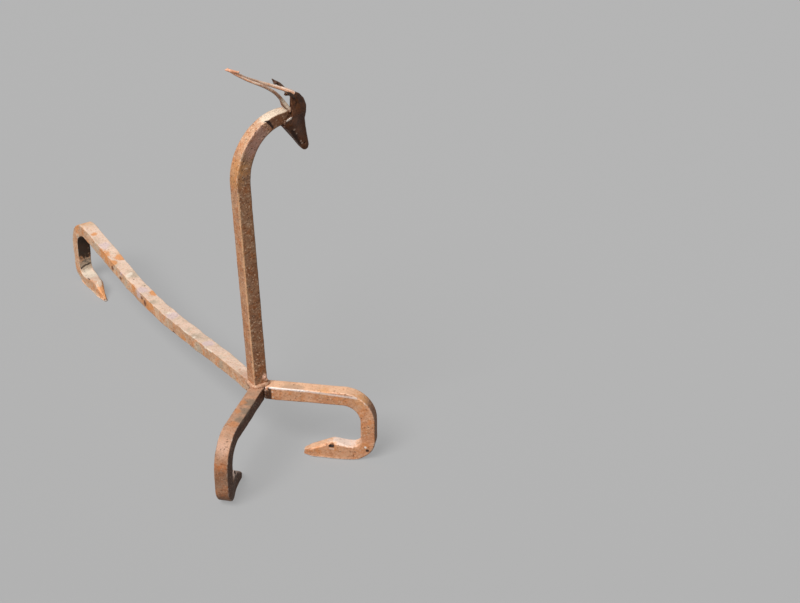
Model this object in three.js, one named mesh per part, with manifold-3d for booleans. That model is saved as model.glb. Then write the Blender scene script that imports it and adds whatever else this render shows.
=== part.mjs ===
// A hand-forged wrought-iron andiron with a gazelle head, in millimetres, +Z up, floor at z = 0.
// The log bar runs back along +Y, the two front legs splay towards -Y, and the head looks along +X.
// The joint of the three bars stands over x = y = 0 until the last lines centre the whole object.
import * as THREE from 'three';
import { mergeVertices } from 'three/addons/utils/BufferGeometryUtils.js';
import Module from 'manifold-3d';

const wasm = await Module();
wasm.setup();

// ---------------------------------------------------------------- driving dimensions
const FIT_GAP = 0.3; // clearance left between pieces that touch
const EDGE_CHAMFER = 1.6; // worn corner of every square bar
const BROW_WEAR = 2.6; // how many times wider it is along the brows of the feet
const CORNER_LIMIT = 0.6; // widest corner, as a share of half a section's width
const CORNER_DEPTH_LIMIT = 0.35; // and as a share of its depth
const STATION = 5; // distance between the stations of a bend or a taper

// front legs
const LEG_WIDTH = 20.5;
const LEG_DEPTH = 21;
const LEG_TOP = 101.5; // height of the legs' upper faces above the floor
const LEFT_LEG_REACH = 149.5; // joint to the outer face of the upright, along the leg
const RIGHT_LEG_REACH = 154.5;
const LEG_SPLAY = THREE.MathUtils.degToRad(48.4); // each leg's angle from straight ahead
const LEFT_SHOULDER_RADIUS = 46; // outer radius of the upper bend
const RIGHT_SHOULDER_RADIUS = 44;
const HEEL_RADIUS = 30; // outer radius of the lower bend

// feet of the front legs, each forged like a small snake's head with a flat sole
const BROW_HEIGHT = 27.5;
const BROW_AT = 97; // joint to the top of the brow, along the leg
const LEFT_SNOUT = 30; // brow to tip
const RIGHT_SNOUT = 39.5;
const LEFT_TIP_HEIGHT = 4.5;
const RIGHT_TIP_HEIGHT = 8.7;
const LEFT_SOLE_WIDTH = 15;
const RIGHT_SOLE_WIDTH = 18;
const TIP_WIDTH = 8;
const LEFT_SIDESTEP = 7.8; // how far the sole lies beside the leg's middle
const RIGHT_SIDESTEP = 5;
const FOOT_EYE_SHARE = 0.84; // the eye's height, as a share of the brow's
const FOOT_EYE_DIAMETER = 5.5;
const FOOT_EYE_DEPTH = 2;

// log bar
const LOG_BAR_DEPTH = 21.5;
const LOG_BAR_WIDTH = 22.5;
const LOG_BAR_FRONT_WIDTH = 19; // drawn narrower where it meets the legs
const LOG_BAR_DRAWN_SHARE = 0.2; // the share of its reach that is drawn
const LOG_BAR_REAR_WIDTH = 24.1; // upset wider towards the rear bend
const LOG_BAR_UPSET_SHARES = [0.5, 0.9]; // from here to here
const LOG_BAR_FRONT_TOP = 98;
const LOG_BAR_REAR_TOP = 106;
const LOG_BAR_SAG = 21.4; // how far its middle has sunk below a straight line
const LOG_BAR_SAG_SHARE = 0.58; // where along the bar it has sunk most
const LOG_BAR_SAG_STATIONS = 20;
const LOG_BAR_SAG_POWER = 1.5; // above 1, the sag eases in at its ends
const LOG_BAR_REACH = 573; // joint to the outer face of the rear upright
const LOG_BAR_SWING = THREE.MathUtils.degToRad(0.83); // its heading, to the left of straight back
const REAR_SHOULDER_RADIUS = 44;
const REAR_HEEL_RADIUS = 30;
const REAR_FOOT_LENGTH = 71;
const REAR_NECK_DEPTH = 16;
const REAR_BROW_HEIGHT = 24;
const REAR_BROW_BACK = 24; // tip to the top of the brow
const REAR_BROW_WIDTH = 16;
const REAR_TIP_HEIGHT = 5;
const REAR_TIP_WIDTH = 7;
const REAR_TIP_DRIFT = 5.5; // the tip lies this far to the left of the bar's middle

// post and neck, one bar
const POST_SIDE = 21;
const POST_HEIGHT = 282.5; // straight part, from the legs up to the bend
const POST_FOOT_X = -2.4; // its middle, from the joint
const POST_FOOT_Y = 1.2;
const POST_LEAN_LEFT = THREE.MathUtils.degToRad(1.92);
const POST_LEAN_BACK = THREE.MathUtils.degToRad(0.75);
const NECK_REACH = 74.2; // outer line of the bend, a quarter of an ellipse
const NECK_RISE = 86.5;
const NECK_DEPTH = 18.3;
const NECK_TONGUE = 14; // tapered end that enters the head
const NECK_TONGUE_WIDTH = 10;

// head, a folded plate
const HEAD_LENGTH = 82; // crown to muzzle
const HEAD_SEAT = 4.9; // the head's middle line, ahead of the end of the bend
const PLATE = 3;
const CHEEK_WIDTH = 25.6;
const EYE_DIAMETER = 4.2;
const EYE_DEPTH = 0.9;
const NOSTRIL_DIAMETER = 2.6;
const NOSTRIL_DEPTH = 0.7;
const MOUTH_WIDTH = 1.6;
const MOUTH_DEPTH = 1;
const CHEEK_BULGE = 0.08; // a cheek's swell, as a share of the slice's length
const FOLD_SETBACK = 0.6; // where the rounded fold begins, as a share of its own half width

// horns and ears
const HORN_RISE = 78.4; // tips above the middle of the neck
const HORN_THICKNESS = 5.2;
const HORN_TIP_THICKNESS = 3;
const HORN_ROOT_WIDTH = 15; // the right horn's root, spread over the neck
const EAR_WIDTH = 5;
const EAR_THICKNESS = 2;

// weld beads
const BEAD_RADIUS = 3;
const CHEEK_BEAD_RADIUS = 1.9;
const BEAD_RIPPLE = 5; // distance between two ripples
const BEAD_SIDES = 8;
const BEAD_WAIST = 0.84; // radius between two ripples, as a share of the full one
const BEAD_END = 0.5; // and at a bead's ends
const BEAD_OVERLAP = 1; // how far a corner bead lies in from its corner

// ---------------------------------------------------------------- solids and sections

/** A closed geometry becomes a solid that can be cut. */
function solidOf(geometry) {
  const bare = new THREE.BufferGeometry();
  bare.setAttribute('position', geometry.getAttribute('position'));
  bare.setIndex(geometry.getIndex());
  const merged = mergeVertices(bare, 1e-4);
  const vertProperties = new Float32Array(merged.getAttribute('position').array);
  const triVerts = new Uint32Array(merged.getIndex().array);
  return new wasm.Manifold(new wasm.Mesh({ numProp: 3, vertProperties, triVerts }));
}

/** A solid goes back to a geometry with one flat normal for each face. */
function geometryOf(solid) {
  const mesh = solid.getMesh();
  const shared = new THREE.BufferGeometry();
  shared.setAttribute('position', new THREE.BufferAttribute(mesh.vertProperties, 3));
  shared.setIndex(new THREE.BufferAttribute(mesh.triVerts, 1));
  const faceted = shared.toNonIndexed();
  faceted.computeVertexNormals();
  return faceted;
}

/**
 * A skin over rings of points that turn anticlockwise, seen along the way they go.
 * The ends are closed by fans, or the last ring joins the first.
 */
function loft(rings, joined = false) {
  const count = rings[0].length;
  const points = rings.flat();
  const faces = [];
  const bands = joined ? rings.length : rings.length - 1;
  for (let band = 0; band < bands; band += 1) {
    const near = band * count;
    const far = ((band + 1) % rings.length) * count;
    for (let k = 0; k < count; k += 1) {
      const next = (k + 1) % count;
      faces.push(near + k, far + next, near + next);
      faces.push(near + k, far + k, far + next);
    }
  }
  if (!joined) {
    const middle = (ring) => ring.reduce((sum, p) => sum.add(p), new THREE.Vector3()).divideScalar(count);
    const last = (rings.length - 1) * count;
    const start = points.push(middle(rings[0])) - 1;
    const end = points.push(middle(rings[rings.length - 1])) - 1;
    for (let k = 0; k < count; k += 1) {
      const next = (k + 1) % count;
      faces.push(start, k, next);
      faces.push(end, last + next, last + k);
    }
  }
  const geometry = new THREE.BufferGeometry().setFromPoints(points);
  geometry.setIndex(faces);
  return geometry;
}

/**
 * The corners of a worn rectangle: across from -width/2 to width/2, and down from 0 to depth.
 * The two lower corners may be worn more, as `crest`.
 */
function wornRectangle({ width, depth, chamfer = EDGE_CHAMFER, crest = chamfer }, grow = 0) {
  const half = width / 2 + grow;
  const top = -grow;
  const bottom = depth + grow;
  const widest = Math.min(half * CORNER_LIMIT, depth * CORNER_DEPTH_LIMIT);
  const c = Math.min(chamfer, widest);
  const d = Math.min(crest, widest);
  return [
    [-half + c, top], [-half, top + c], [-half, bottom - d], [-half + d, bottom],
    [half - d, bottom], [half, bottom - d], [half, top + c], [half - c, top],
  ];
}

/** Stations along an outer line, each with its point, its heading and its distance from the end. */
function walk(path, grow) {
  const curves = path.curves.filter((curve) => curve.getLength() > 1e-6);
  const length = curves.reduce((sum, curve) => sum + curve.getLength(), 0);
  const stations = [];
  let run = 0;
  for (const curve of curves) {
    const steps = Math.max(1, Math.round(curve.getLength() / STATION));
    for (let i = stations.length === 0 ? 0 : 1; i <= steps; i += 1) {
      const at = curve.getPointAt(i / steps);
      const heading = curve.getTangentAt(i / steps);
      stations.push({ at, heading, left: length - run - (curve.getLength() * i) / steps });
    }
    run += curve.getLength();
  }
  const first = stations[0];
  const last = stations[stations.length - 1];
  first.at.addScaledVector(first.heading, -grow);
  last.at.addScaledVector(last.heading, grow);
  return stations;
}

/** Leaves out the stations inside a straight stretch of one section. */
function needed(stations) {
  const alike = (a, b) => a.heading.dot(b.heading) > 1 - 1e-9
    && JSON.stringify(a.section) === JSON.stringify(b.section);
  return stations.filter((station, i) => i === 0 || i === stations.length - 1
    || !alike(station, stations[i - 1]) || !alike(station, stations[i + 1]));
}

/**
 * A square bar whose outer line is a path in an upright plane, with the bar to the right of the
 * line as it runs. `ahead` is the plane's level direction. `sectionAt(left)` gives the bar's
 * section where that much of the line is left, and its `shift` moves it to the right of the plane.
 */
function bentBar(path, ahead, sectionAt, grow = 0) {
  const right = new THREE.Vector3(ahead.y, -ahead.x, 0);
  const stations = walk(path, grow).map((station) => ({ ...station, section: sectionAt(station.left) }));
  const rings = needed(stations).map(({ at, heading, section }) => {
    const inward = new THREE.Vector2(heading.y, -heading.x);
    return wornRectangle(section, grow).map(([across, down]) => {
      const point = at.clone().addScaledVector(inward, down);
      const corner = new THREE.Vector3(0, 0, point.y).addScaledVector(ahead, point.x);
      return corner.addScaledVector(right, across + (section.shift ?? 0));
    });
  });
  return solidOf(loft(rings));
}

/** Reads a table of `[place, value]` rows, easing from each row to the next. */
function eased(place, ...rows) {
  const next = rows.findIndex(([at]) => at > place);
  if (next === 0) return rows[0][1];
  if (next < 0) return rows[rows.length - 1][1];
  const [from, to] = [rows[next - 1], rows[next]];
  return THREE.MathUtils.lerp(from[1], to[1], THREE.MathUtils.smoothstep(place, from[0], to[0]));
}

/** A forged prong along a curve through points; `sizeAt(share)` gives its width and depth. */
function prong(points, steps, sizeAt, grow = 0) {
  const curve = new THREE.CatmullRomCurve3(points);
  const rings = [];
  for (let i = 0; i <= steps; i += 1) {
    const at = curve.getPointAt(i / steps);
    const forward = curve.getTangentAt(i / steps);
    const up = new THREE.Vector3(0, 1, 0).cross(forward).normalize();
    const right = new THREE.Vector3().crossVectors(forward, up);
    if (i === 0) at.addScaledVector(forward, -grow);
    if (i === steps) at.addScaledVector(forward, grow);
    const { width, depth } = sizeAt(i / steps);
    const corners = wornRectangle({ width, depth, chamfer: Math.min(width, depth) * 0.28 }, grow);
    rings.push(corners.map(([across, down]) => at.clone().addScaledVector(right, across)
      .addScaledVector(up, depth / 2 - down)));
  }
  return solidOf(loft(rings));
}

/** A rippled weld bead along a curve through points; a joined one closes on itself. */
function bead(points, radius = BEAD_RADIUS, joined = false) {
  const curve = new THREE.CatmullRomCurve3(points, joined);
  const steps = 2 * Math.max(2, Math.round(curve.getLength() / BEAD_RIPPLE));
  const rings = [];
  for (let i = 0; i < steps + (joined ? 0 : 1); i += 1) {
    const at = curve.getPointAt(i / steps);
    const forward = curve.getTangentAt(i / steps);
    const side = new THREE.Vector3(forward.y, -forward.x, 0);
    if (side.length() < 0.1) side.set(1, 0, 0); // an upright seam
    side.normalize();
    const up = new THREE.Vector3().crossVectors(side, forward);
    const atEnd = !joined && (i === 0 || i === steps);
    const r = radius * (atEnd ? BEAD_END : 1) * (i % 2 ? 1 : BEAD_WAIST);
    const ring = [];
    for (let k = 0; k < BEAD_SIDES; k += 1) {
      const angle = (k / BEAD_SIDES) * 2 * Math.PI;
      const point = at.clone().addScaledVector(side, r * Math.cos(angle));
      ring.push(point.addScaledVector(up, r * Math.sin(angle)));
    }
    rings.push(ring);
  }
  return solidOf(loft(rings, joined));
}

/** A box between two corners. */
function block(low, high) {
  const box = new THREE.BoxGeometry(high[0] - low[0], high[1] - low[1], high[2] - low[2]);
  return solidOf(box.translate((low[0] + high[0]) / 2, (low[1] + high[1]) / 2, (low[2] + high[2]) / 2));
}

/** A shallow punch mark, to be subtracted from the face that holds `at`. */
function punch(at, outward, diameter, depth) {
  const radius = ((diameter / 2) ** 2 + depth ** 2) / (2 * depth);
  const centre = at.clone().addScaledVector(outward, radius - depth);
  return solidOf(new THREE.SphereGeometry(radius, 16, 12).translate(centre.x, centre.y, centre.z));
}

/** Adds a piece to its group as a named mesh of rusted iron. */
function addPiece(parent, name, solid, colour, roughness = 0.8, metalness = 0.35) {
  const material = new THREE.MeshStandardMaterial({ color: colour, roughness, metalness });
  const mesh = new THREE.Mesh(geometryOf(solid), material);
  mesh.name = name;
  parent.add(mesh);
  return mesh;
}

// ---------------------------------------------------------------- front legs

const leftward = new THREE.Vector3(-Math.sin(LEG_SPLAY), -Math.cos(LEG_SPLAY), 0);
const rightward = new THREE.Vector3(Math.sin(LEG_SPLAY), -Math.cos(LEG_SPLAY), 0);

const LEFT = {
  side: -1,
  ahead: leftward,
  reach: LEFT_LEG_REACH,
  shoulder: LEFT_SHOULDER_RADIUS,
  snout: LEFT_SNOUT,
  tipHeight: LEFT_TIP_HEIGHT,
  soleWidth: LEFT_SOLE_WIDTH,
  sidestep: LEFT_SIDESTEP,
};
const RIGHT = {
  side: 1,
  ahead: rightward,
  reach: RIGHT_LEG_REACH,
  shoulder: RIGHT_SHOULDER_RADIUS,
  snout: RIGHT_SNOUT,
  tipHeight: RIGHT_TIP_HEIGHT,
  soleWidth: RIGHT_SOLE_WIDTH,
  sidestep: RIGHT_SIDESTEP,
};

/** The outer line of a leg: along the top, round the shoulder, down, round the heel, in to the tip. */
function legLine({ reach, shoulder, snout }) {
  const path = new THREE.Path();
  path.moveTo(-LEG_WIDTH, LEG_TOP);
  path.lineTo(reach - shoulder, LEG_TOP);
  path.absarc(reach - shoulder, LEG_TOP - shoulder, shoulder, Math.PI / 2, 0, true);
  path.lineTo(reach, HEEL_RADIUS);
  path.absarc(reach - HEEL_RADIUS, HEEL_RADIUS, HEEL_RADIUS, 0, -Math.PI / 2, true);
  path.lineTo(BROW_AT - snout, 0);
  return path;
}

/** A leg's section: plain bar, then the foot's thin nape, raised brow and tapered snout. */
function legSection(left, { reach, snout, tipHeight, soleWidth, sidestep }) {
  const heel = reach - HEEL_RADIUS - BROW_AT + snout; // tip to the end of the heel bend
  const muzzle = THREE.MathUtils.mapLinear(left, 0, snout, tipHeight, BROW_HEIGHT);
  const nape = eased(left, [snout, BROW_HEIGHT], [heel, LEG_DEPTH]);
  return {
    width: eased(left, [0, TIP_WIDTH], [snout / 3, soleWidth], [heel, LEG_WIDTH]),
    depth: left < snout ? muzzle : nape,
    crest: eased(left, [0, EDGE_CHAMFER], [snout, BROW_WEAR * EDGE_CHAMFER], [heel, EDGE_CHAMFER]),
    shift: eased(left, [snout, sidestep], [heel + HEEL_RADIUS, 0]),
  };
}

function legBar(leg, grow = 0) {
  return bentBar(legLine(leg), leg.ahead, (left) => legSection(left, leg), grow);
}

/** The eyes punched in both sides of a foot's brow. */
function footEyes({ ahead, soleWidth, sidestep }) {
  const right = new THREE.Vector3(ahead.y, -ahead.x, 0);
  const middle = new THREE.Vector3(0, 0, BROW_HEIGHT * FOOT_EYE_SHARE).addScaledVector(ahead, BROW_AT);
  middle.addScaledVector(right, sidestep);
  return [-1, 1].map((side) => {
    const outward = right.clone().multiplyScalar(side);
    const inset = BROW_WEAR * EDGE_CHAMFER - (1 - FOOT_EYE_SHARE) * BROW_HEIGHT;
    const at = middle.clone().addScaledVector(outward, soleWidth / 2 - Math.max(0, inset) / 2);
    return punch(at, outward, FOOT_EYE_DIAMETER, FOOT_EYE_DEPTH);
  });
}

const farSide = 4 * LOG_BAR_REACH; // beyond anything on the object

/** What lies past the mitre between the legs, seen from one of them, less or more by `overlap`. */
function pastMitre({ side }, overlap) {
  return side < 0
    ? block([overlap, -farSide, -farSide], [farSide, farSide, farSide])
    : block([-farSide, -farSide, -farSide], [-overlap, farSide, farSide]);
}

/** A leg, mitred against the other one, with its foot's eyes. */
function frontLeg(leg) {
  const bar = legBar(leg).subtract(pastMitre(leg, -FIT_GAP / 2));
  return footEyes(leg).reduce((cut, eye) => cut.subtract(eye), bar);
}

const legsGrown = [LEFT, RIGHT].map((leg) => legBar(leg, FIT_GAP).subtract(pastMitre(leg, FIT_GAP / 2)))
  .reduce((both, bar) => both.add(bar));

// ---------------------------------------------------------------- log bar

const backward = new THREE.Vector3(-Math.sin(LOG_BAR_SWING), Math.cos(LOG_BAR_SWING), 0);
const logBarStraight = LOG_BAR_REACH - REAR_SHOULDER_RADIUS;

/** The upper line of the bar, sunk in the fire's heat past its middle. */
function saggedLine() {
  const skew = Math.log(0.5) / Math.log(LOG_BAR_SAG_SHARE);
  const points = [];
  for (let i = 0; i <= LOG_BAR_SAG_STATIONS; i += 1) {
    const share = i / LOG_BAR_SAG_STATIONS;
    const level = THREE.MathUtils.lerp(LOG_BAR_FRONT_TOP, LOG_BAR_REAR_TOP, share);
    const drop = LOG_BAR_SAG * Math.abs(Math.sin(Math.PI * share ** skew)) ** LOG_BAR_SAG_POWER;
    points.push(new THREE.Vector2(share * logBarStraight, level - drop));
  }
  return new THREE.SplineCurve(points);
}

function logBarLine() {
  const path = new THREE.Path();
  path.curves.push(saggedLine());
  path.currentPoint.set(logBarStraight, LOG_BAR_REAR_TOP);
  path.absarc(logBarStraight, LOG_BAR_REAR_TOP - REAR_SHOULDER_RADIUS, REAR_SHOULDER_RADIUS,
    Math.PI / 2, 0, true);
  path.lineTo(LOG_BAR_REACH, REAR_HEEL_RADIUS);
  path.absarc(LOG_BAR_REACH - REAR_HEEL_RADIUS, REAR_HEEL_RADIUS, REAR_HEEL_RADIUS, 0, -Math.PI / 2, true);
  path.lineTo(LOG_BAR_REACH - REAR_HEEL_RADIUS - REAR_FOOT_LENGTH, 0);
  return path;
}

const logBarLength = logBarLine().getLength();
const rearHeelLength = (REAR_HEEL_RADIUS * Math.PI) / 2;

function logBarSection(left) {
  const snout = THREE.MathUtils.mapLinear(left, 0, REAR_BROW_BACK, REAR_TIP_HEIGHT, REAR_BROW_HEIGHT);
  const nape = eased(left, [REAR_BROW_BACK, REAR_BROW_HEIGHT], [REAR_FOOT_LENGTH, REAR_NECK_DEPTH],
    [REAR_FOOT_LENGTH + rearHeelLength, LOG_BAR_DEPTH]);
  const rear = eased(left, [0, REAR_TIP_WIDTH], [REAR_BROW_BACK, REAR_BROW_WIDTH],
    [REAR_FOOT_LENGTH, LOG_BAR_REAR_WIDTH]);
  const [upsetFrom, upsetTo] = LOG_BAR_UPSET_SHARES.map((share) => share * LOG_BAR_REACH);
  const drawn = LOG_BAR_DRAWN_SHARE * LOG_BAR_REACH;
  const front = eased(logBarLength - left, [0, LOG_BAR_FRONT_WIDTH], [drawn, LOG_BAR_WIDTH],
    [upsetFrom, LOG_BAR_WIDTH], [upsetTo, LOG_BAR_REAR_WIDTH]);
  return {
    width: Math.min(rear, front),
    depth: left < REAR_BROW_BACK ? snout : nape,
    crest: eased(left, [0, EDGE_CHAMFER], [REAR_BROW_BACK, BROW_WEAR * EDGE_CHAMFER],
      [REAR_FOOT_LENGTH, EDGE_CHAMFER]),
    shift: -eased(left, [0, REAR_TIP_DRIFT], [REAR_FOOT_LENGTH, 0]),
  };
}

function logBarBar(grow = 0) {
  return bentBar(logBarLine(), backward, logBarSection, grow);
}

/** What a leg takes out of the log bar's front end: its own outline, at every height. */
function legNotch(leg) {
  const box = new THREE.BoxGeometry(2 * LEG_TOP, LEG_WIDTH + 2 * FIT_GAP, 4 * LEG_TOP);
  box.rotateZ(Math.atan2(leg.ahead.y, leg.ahead.x));
  return solidOf(box).subtract(pastMitre(leg, FIT_GAP / 2));
}

const frontOff = block([-farSide, -farSide, -farSide], [farSide, 0, farSide]);
const logBar = [legNotch(LEFT), legNotch(RIGHT), frontOff].reduce(
  (bar, cut) => bar.subtract(cut), logBarBar());

// ---------------------------------------------------------------- post, neck and head

const upper = new THREE.Group(); // everything that leans with the post
const leanRise = (POST_SIDE / 2) * (Math.sin(POST_LEAN_LEFT) + Math.sin(POST_LEAN_BACK));
upper.position.set(POST_FOOT_X, POST_FOOT_Y, LEG_TOP + FIT_GAP + leanRise);
upper.rotation.set(-POST_LEAN_BACK, -POST_LEAN_LEFT, 0);
upper.updateMatrix();

const bendEnd = NECK_REACH - POST_SIDE / 2;

function postLine() {
  const path = new THREE.Path();
  path.moveTo(-POST_SIDE / 2, 0);
  path.lineTo(-POST_SIDE / 2, POST_HEIGHT);
  path.absellipse(bendEnd, POST_HEIGHT, NECK_REACH, NECK_RISE, Math.PI, Math.PI / 2, true);
  path.lineTo(bendEnd + NECK_TONGUE, POST_HEIGHT + NECK_RISE);
  return path;
}

const neckBend = (Math.PI / 4) * (NECK_REACH + NECK_RISE);

function postSection(left) {
  return {
    width: eased(left, [0, NECK_TONGUE_WIDTH], [NECK_TONGUE, NECK_DEPTH],
      [NECK_TONGUE + neckBend, POST_SIDE]),
    depth: eased(left, [NECK_TONGUE, NECK_DEPTH], [NECK_TONGUE + neckBend, POST_SIDE]),
  };
}

function postBar(grow = 0) {
  return bentBar(postLine(), new THREE.Vector3(1, 0, 0), postSection, grow);
}

const head = new THREE.Group();
head.position.set(bendEnd + HEAD_SEAT, 0, POST_HEIGHT + NECK_RISE - NECK_DEPTH / 2);
upper.add(head);

/** The neck as the head sees it, with clearance. */
const neckGrown = postBar(FIT_GAP).translate(head.position.clone().negate().toArray());
const cheek = CHEEK_WIDTH / 2;

/**
 * The head's level slices, from crown to muzzle. Height, back and front are shares of its length,
 * from its seat on the neck. Half the width, at the open back and at the folded front, is a share
 * of the cheek's. The step at the middle is the upper edge of the cheeks, which reach back along
 * the neck.
 */
const HEAD_SLICES = [
  [0.361, 0.098, 0.146, 0.14, 0.08],
  [0.351, 0.079, 0.171, 0.47, 0.12],
  [0.287, 0.061, 0.268, 0.73, 0.16],
  [0.195, 0.052, 0.338, 0.86, 0.2],
  [0.079, 0.049, 0.373, 0.96, 0.27],
  [0.015, 0.049, 0.37, 1, 0.33],
  [-0.018, -0.055, 0.366, 1, 0.35],
  [-0.122, -0.098, 0.334, 0.94, 0.39],
  [-0.159, -0.091, 0.335, 0.86, 0.39],
  [-0.207, -0.03, 0.339, 0.73, 0.39],
  [-0.274, 0.012, 0.341, 0.66, 0.39],
  [-0.427, 0.116, 0.357, 0.53, 0.36],
  [-0.565, 0.201, 0.372, 0.39, 0.31],
  [-0.616, 0.238, 0.354, 0.28, 0.23],
  [-0.638, 0.274, 0.323, 0.17, 0.16],
];
const HOLLOW_SLICES = [1, 5]; // the slices between which the plate stands off the neck

/** A point on the head, in shares of its length from its seat. */
const onHead = (x, y, z) => new THREE.Vector3(x, y, z).multiplyScalar(HEAD_LENGTH);

/**
 * One slice, as a ring: open back, convex cheeks, rounded fold at the front. The hollow inside
 * runs out through the back, and the fold is twice as thick as the plate.
 */
function headRing([height, back, front, halfBack, halfFront], inset) {
  const b = back * HEAD_LENGTH + (inset > 0 ? -4 * inset : inset);
  const f = front * HEAD_LENGTH - 2.2 * inset;
  const hb = halfBack * cheek - inset;
  const hf = Math.max(halfFront * cheek - inset, 0.4);
  const mid = (b + f) / 2;
  const half = (hb + hf) / 2 + CHEEK_BULGE * (f - b);
  const side = [[b, hb], [mid, half], [f - FOLD_SETBACK * hf, hf]];
  const ring = [...side.map(([x, y]) => [x, -y]), [f, 0], ...side.reverse()];
  return ring.map(([x, y]) => new THREE.Vector3(x, y, height * HEAD_LENGTH));
}

function headBlock(inset = 0) {
  const slices = inset > 0 ? HEAD_SLICES.slice(...HOLLOW_SLICES) : HEAD_SLICES;
  return solidOf(loft(slices.map((slice) => headRing(slice, inset))));
}

const headSolid = headBlock();
const headCavity = headBlock(PLATE);
const eyeMarks = [-1, 1].map((side) => punch(onHead(0.159, side * 0.115, 0.195),
  new THREE.Vector3(0, side, 0), EYE_DIAMETER, EYE_DEPTH));
const nostrilMarks = [-1, 1].map((side) => punch(onHead(0.268, side * 0.068, -0.5),
  new THREE.Vector3(0, side, 0), NOSTRIL_DIAMETER, NOSTRIL_DEPTH));

/** The mouth, chiselled into a cheek from its corner towards the nostril. */
function mouthMark(side) {
  const groove = [[0.061, 0.127, -0.244], [0.122, 0.111, -0.329], [0.189, 0.093, -0.415]];
  const line = groove.map(([x, y, z]) => onHead(x, side * y, z));
  return prong(line, 4, () => ({ width: 2 * MOUTH_DEPTH, depth: MOUTH_WIDTH }));
}

// ---------------------------------------------------------------- horns and ears

/** A point on a horn, in shares of the horns' rise from the head's seat. */
const onHorn = ([x, y, z]) => new THREE.Vector3(x, y, z).multiplyScalar(HORN_RISE);
const LEFT_HORN = [
  [0.172, -0.013, 0.332], [0.133, 0, 0.357], [0.05, 0.038, 0.403], [-0.05, 0.077, 0.449],
  [-0.167, 0.115, 0.505], [-0.296, 0.128, 0.571], [-0.436, 0.115, 0.652], [-0.588, 0.077, 0.744],
  [-0.698, 0.051, 0.829], [-0.807, 0.026, 0.906], [-0.923, 0, 1],
].map(onHorn);
const RIGHT_HORN = [
  [0.038, -0.033, 0.102], [-0.031, -0.064, 0.219], [-0.106, -0.102, 0.335], [-0.228, -0.153, 0.485],
  [-0.356, -0.179, 0.599], [-0.491, -0.185, 0.694], [-0.607, -0.153, 0.76], [-0.712, -0.102, 0.827],
  [-0.821, -0.064, 0.906], [-0.909, -0.051, 0.981],
].map(onHorn);

function hornSize(rootWidth, rootShare) {
  return (share) => {
    const depth = THREE.MathUtils.lerp(HORN_THICKNESS, HORN_TIP_THICKNESS, share);
    return { width: Math.max(depth, eased(share, [0, rootWidth], [rootShare, depth])), depth };
  };
}

const leftHorn = (grow) => prong(LEFT_HORN, 24, hornSize(2 * HORN_THICKNESS, 0.2), grow);
const rightHornBar = (grow) => prong(RIGHT_HORN, 26, hornSize(HORN_ROOT_WIDTH, 0.22), grow);
const rightHornGrown = rightHornBar(FIT_GAP);
const headGrown = headBlock(-FIT_GAP);
const rightHorn = rightHornBar(0).subtract(neckGrown).subtract(headGrown);
const headPiece = [
  headCavity, neckGrown, leftHorn(FIT_GAP), ...eyeMarks, ...nostrilMarks, mouthMark(1), mouthMark(-1),
].reduce((solid, cut) => solid.subtract(cut), headSolid);

const LEFT_EAR = [
  onHead(0.134, 0.093, 0.268), onHead(0.09, 0.144, 0.354), onHead(0.024, 0.178, 0.432),
  onHead(-0.029, 0.2, 0.483), onHead(-0.067, 0.212, 0.524),
];
const RIGHT_EAR = [
  onHead(0.122, -0.117, 0.268), onHead(0.079, -0.134, 0.329), onHead(0.037, -0.146, 0.373),
  onHead(-0.013, -0.161, 0.415), onHead(-0.049, -0.171, 0.439),
];

/** An ear, a leaf of plate that grows from a cheek; its flat looks sideways. */
function ear(line) {
  const leaf = (share) => ({
    width: EAR_THICKNESS,
    depth: EAR_WIDTH * eased(share, [0, 0.5], [0.6, 1], [1, 0.3]),
  });
  return prong(line, 8, leaf).subtract(headGrown).subtract(leftHorn(FIT_GAP)).subtract(rightHornGrown);
}

// ---------------------------------------------------------------- welds

const postGrown = postBar(FIT_GAP).transform(upper.matrix.toArray());

/** The bead that runs round the foot of the post, on the legs. */
function postWeld() {
  const half = POST_SIDE / 2 + BEAD_RADIUS * 0.4;
  const corners = [[1, 0], [1, 1], [0, 1], [-1, 1], [-1, 0], [-1, -1], [0, -1], [1, -1]];
  const loop = corners.map(([x, y]) => new THREE.Vector3(POST_FOOT_X + half * x, POST_FOOT_Y + half * y,
    LEG_TOP + BEAD_RADIUS * 0.5));
  return bead(loop, BEAD_RADIUS, true).subtract(legsGrown).subtract(postGrown).subtract(logBarBar(FIT_GAP));
}

/** The bead in the front corner between the two legs. */
function legWeld() {
  const y = -LEG_WIDTH / 2 / Math.sin(LEG_SPLAY) - BEAD_OVERLAP;
  const low = new THREE.Vector3(0, y, LEG_TOP - LEG_DEPTH + BEAD_RADIUS);
  const high = new THREE.Vector3(0, y, LEG_TOP - BEAD_RADIUS);
  return bead([low, high]).subtract(legsGrown);
}

/** The bead in the corner between the log bar and the back of a leg. */
function barWeld(side) {
  const x = LOG_BAR_FRONT_WIDTH / 2 + BEAD_OVERLAP;
  const y = (LEG_WIDTH / 2 - x * Math.cos(LEG_SPLAY)) / Math.sin(LEG_SPLAY) + BEAD_OVERLAP;
  const low = new THREE.Vector3(side * x, y, LEG_TOP - LEG_DEPTH + BEAD_RADIUS);
  const high = new THREE.Vector3(side * x, y, LOG_BAR_FRONT_TOP - BEAD_RADIUS);
  return bead([low, high]).subtract(legsGrown).subtract(logBarBar(FIT_GAP)).subtract(postGrown);
}

/** The bead along the back edge of a cheek, on the side of the neck. */
function cheekWeld(side) {
  const line = [onHead(-0.049, side * 0.125, -0.012), onHead(-0.105, side * 0.125, -0.104)];
  return bead(line, CHEEK_BEAD_RADIUS).subtract(neckGrown).subtract(headGrown);
}

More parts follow.
